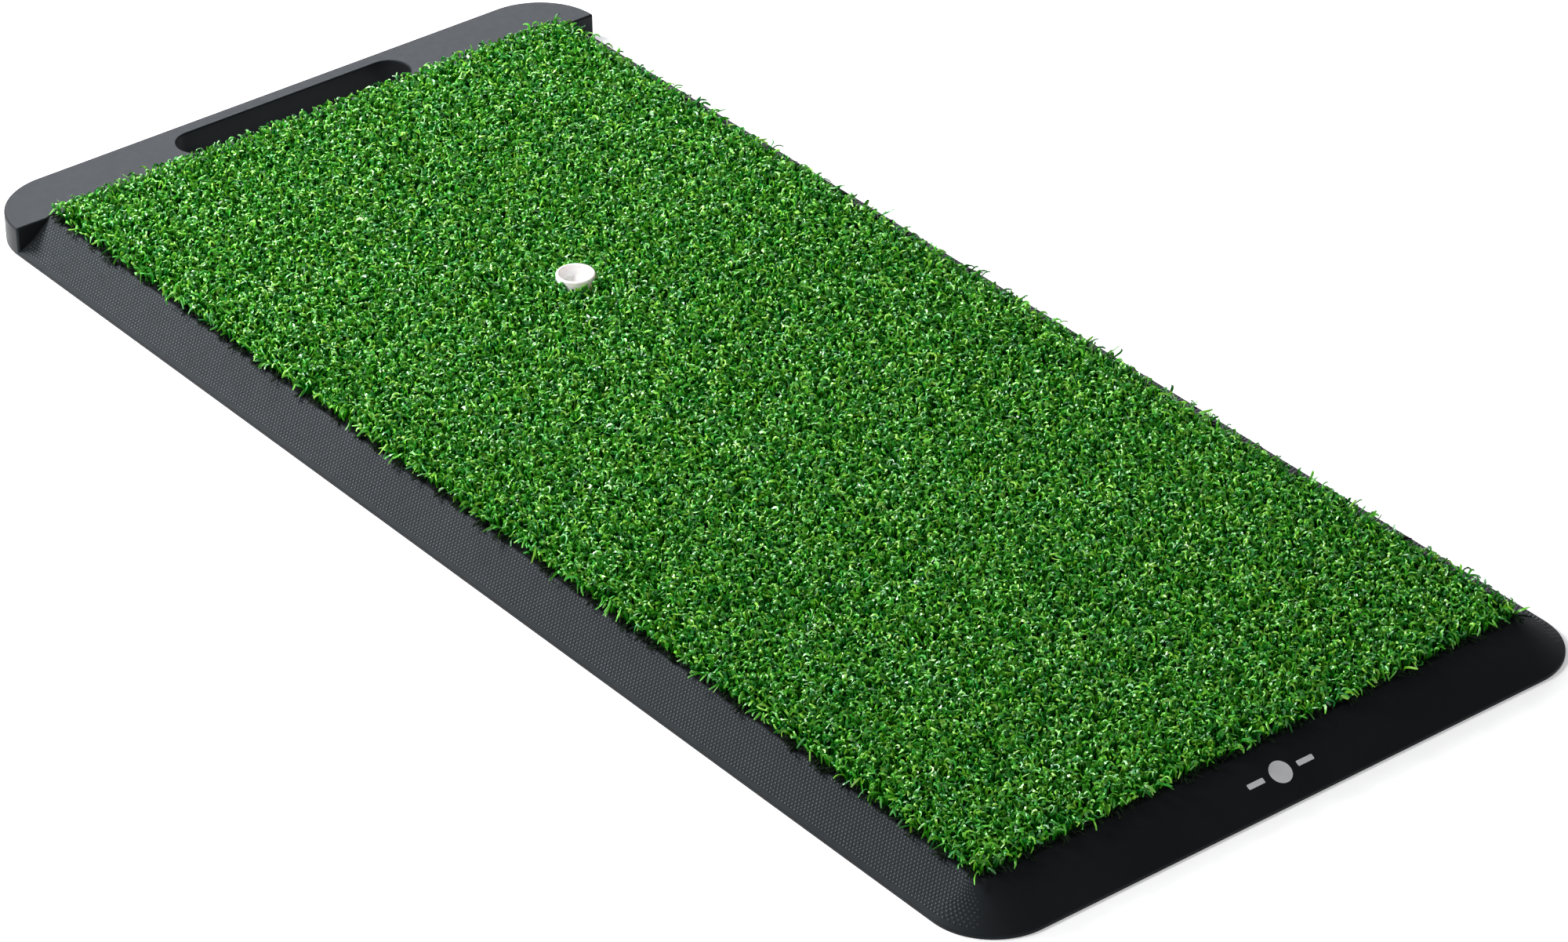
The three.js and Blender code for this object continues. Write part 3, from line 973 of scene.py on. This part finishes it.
def print_tile(name, ring, node, material):
    """Thin printed shape lying on the middle of the front bevel. ring holds (across, up the slope) points."""
    rise = THICKNESS - LIP_HEIGHT
    slope = math.atan2(rise, FRONT_RUN)
    middle = Vector((0, -HALF_LENGTH + FRONT_RUN / 2, LIP_HEIGHT + rise / 2))
    turn = Matrix.Rotation(slope, 3, "X")
    points = []
    for height in MARK_HEIGHTS:
        points += [middle + turn @ Vector((x, y, height)) for x, y in ring]
    count = len(ring)
    faces = [tuple(reversed(range(count))), tuple(range(count, 2 * count))]
    faces += [(i, (i + 1) % count, count + (i + 1) % count, count + i) for i in range(count)]
    made = mesh_object(name, points, faces, [material], smooth_angle=30)
    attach(made, "mat")
    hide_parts(node)


def make_centre_mark():
    """A plain disc between two short bars."""
    ink = ink_material()
    print_tile("mark_print_disc", circle(MARK_DISC_RADIUS, MARK_DISC_STEPS), "centre_mark_disc", ink)
    near = MARK_DISC_RADIUS + MARK_BAR_GAP
    half = MARK_BAR_HALF_WIDTH
    for side, word in ((-1, "left"), (1, "right")):
        inner, outer = sorted((side * near, side * (near + MARK_BAR_LENGTH)))
        bar = [(inner, -half), (outer, -half), (outer, half), (inner, half)]
        ring = rounded(bar, [MARK_ROUNDING] * len(bar))
        print_tile(f"mark_print_bar_{word}", ring, f"centre_mark_bar_{word}", ink)


# ---------------------------------------------------------------- stage

CAMERA_AIM = Vector((-0.007, -0.041, 0))
CAMERA_DISTANCE = 2.787
CAMERA_YAW = math.radians(38.21)
CAMERA_PITCH = math.radians(32.37)
CAMERA_ROLL = math.radians(-0.45)
CAMERA_LENS = 139.5
FLOOR_HALF = 8
FLOOR_DROP = 0.05 * MM  # keeps the floor from meeting the base's underside exactly


def make_camera():
    """Camera on the photograph's side of the mat."""
    data = bpy.data.cameras.new("camera")
    data.lens = CAMERA_LENS
    camera = bpy.data.objects.new("camera", data)
    bpy.context.scene.collection.objects.link(camera)
    turn = Matrix.Rotation(-CAMERA_YAW, 4, "Z") @ Matrix.Rotation(math.pi / 2 - CAMERA_PITCH, 4, "X")
    turn = turn @ Matrix.Rotation(CAMERA_ROLL, 4, "Z")
    forward = turn @ Vector((0, 0, -1))
    camera.matrix_world = Matrix.Translation(CAMERA_AIM - forward * CAMERA_DISTANCE) @ turn
    bpy.context.scene.camera = camera


def softbox(name, place, aim, size, radiance, tint=(1, 1, 1)):
    """Square or oblong lamp at a place, turned to its aim."""
    data = bpy.data.lights.new(name, "AREA")
    data.shape = "RECTANGLE"
    data.size, data.size_y = size
    data.energy = radiance * math.pi * size[0] * size[1]
    data.color = tint
    lamp = bpy.data.objects.new(name, data)
    bpy.context.scene.collection.objects.link(lamp)
    lamp.location = place
    lamp.rotation_mode = "QUATERNION"
    lamp.rotation_quaternion = (Vector(aim) - Vector(place)).to_track_quat("-Z", "Y")


def make_world():
    """Studio walls: pale along the horizon, dim overhead."""
    world = bpy.data.worlds.new("studio")
    world.use_nodes = True
    nodes, links = world.node_tree.nodes, world.node_tree.links
    height = nodes.new("ShaderNodeSeparateXYZ")
    ramp = nodes.new("ShaderNodeValToRGB")
    ramp.color_ramp.elements[0].position = math.sin(math.radians(8))
    ramp.color_ramp.elements[0].color = (0.85, 0.85, 0.86, 1)
    ramp.color_ramp.elements[1].position = math.sin(math.radians(26))
    ramp.color_ramp.elements[1].color = (0.15, 0.15, 0.155, 1)
    links.new(nodes.new("ShaderNodeTexCoord").outputs["Generated"], height.inputs["Vector"])
    links.new(height.outputs["Z"], ramp.inputs["Fac"])
    links.new(ramp.outputs["Color"], nodes["Background"].inputs["Color"])
    bpy.context.scene.world = world


def make_stage():
    """Pale floor, studio walls and soft lamps."""
    pale = (0.9, 0.9, 0.9, 1)
    shader = Shader(
        "pale_floor", Base_Color=pale, Roughness=0.9, Specular_IOR_Level=0.1,
        Emission_Color=pale, Emission_Strength=0.3,
    )
    corners = [(x * FLOOR_HALF, y * FLOOR_HALF, 0) for x, y in ((-1, -1), (1, -1), (1, 1), (-1, 1))]
    floor = mesh_object("floor", corners, [(0, 1, 2, 3)], [shader.material])
    floor.location.z = -FLOOR_DROP
    make_world()
    cool = (0.97, 0.99, 1.05)
    softbox("key_softbox", (-0.5, 1.25, 0.78), (-0.05, 0.15, 0), (0.38, 0.38), 69)
    softbox("back_softbox", (0.85, 1.75, 0.95), (0, 0.35, 0), (1.2, 0.6), 8.6, cool)
    softbox("side_softbox", (-1.5, 0.7, 1.45), (0, 0, 0), (0.5, 0.5), 44)
    softbox("front_softbox", (-1.3, -1.5, 1.7), (0, 0, 0), (1.6, 1.6), 1.5)
    bpy.context.scene.view_settings.view_transform = "Standard"


make_camera()
make_base()
tread = tread_material()
tread_dots("tread_dots_right", 1, tread)
tread_dots("tread_dots_left", -1, tread)
make_cloth()
finish_hidden_layers()
make_turf()
make_tee()
make_centre_mark()
make_stage()
